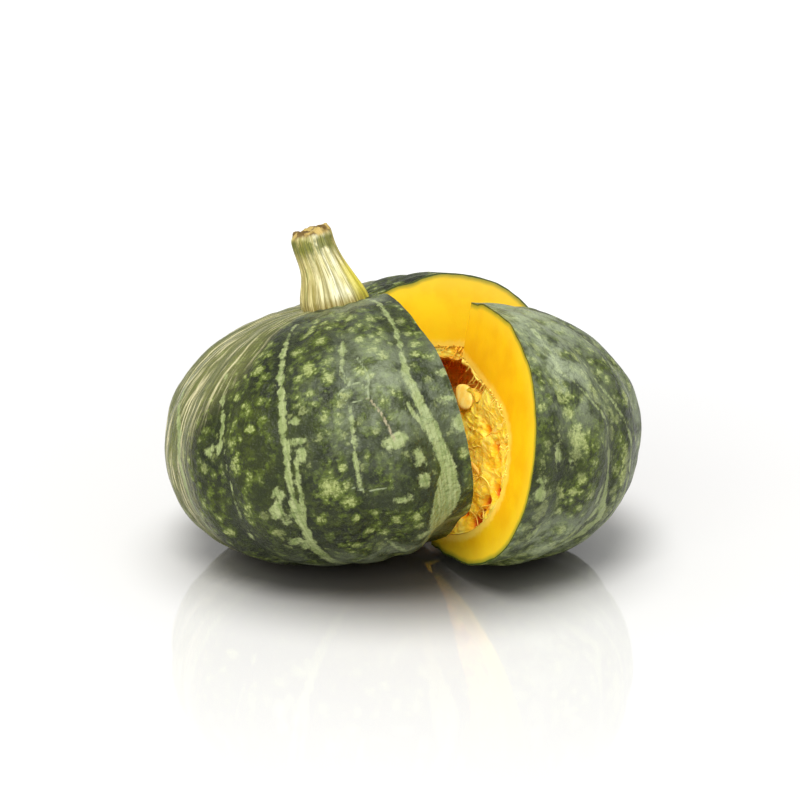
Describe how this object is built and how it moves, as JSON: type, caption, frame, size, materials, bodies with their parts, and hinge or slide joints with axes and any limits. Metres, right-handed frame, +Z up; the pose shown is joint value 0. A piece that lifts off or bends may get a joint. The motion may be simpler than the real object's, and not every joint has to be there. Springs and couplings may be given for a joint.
{
  "type": "kabocha squash",
  "caption": "Green kabocha squash with its corky stem, cut open: a wedge stands just outside the notch it was cut from, showing golden flesh and the seed pulp.",
  "frame": {"origin": "middle of the bottom of the whole object's box, on the surface that both pieces rest on", "axes": "+Z up, +X to the right across the front, toward the wedge, +Y away to the back"},
  "size_m": [0.2243, 0.1965, 0.1557],
  "materials": {
    "squash": "waxy dark green rind over golden flesh",
    "stem": "dry corky stem",
    "pulp": "wet orange fibres with cream seeds"
  },
  "bodies": {
    "root": {"squash_body": "squash", "squash_wedge": "squash", "stem": "stem", "body_pulp": "pulp", "wedge_pulp": "pulp"}
  },
  "joints": []
}
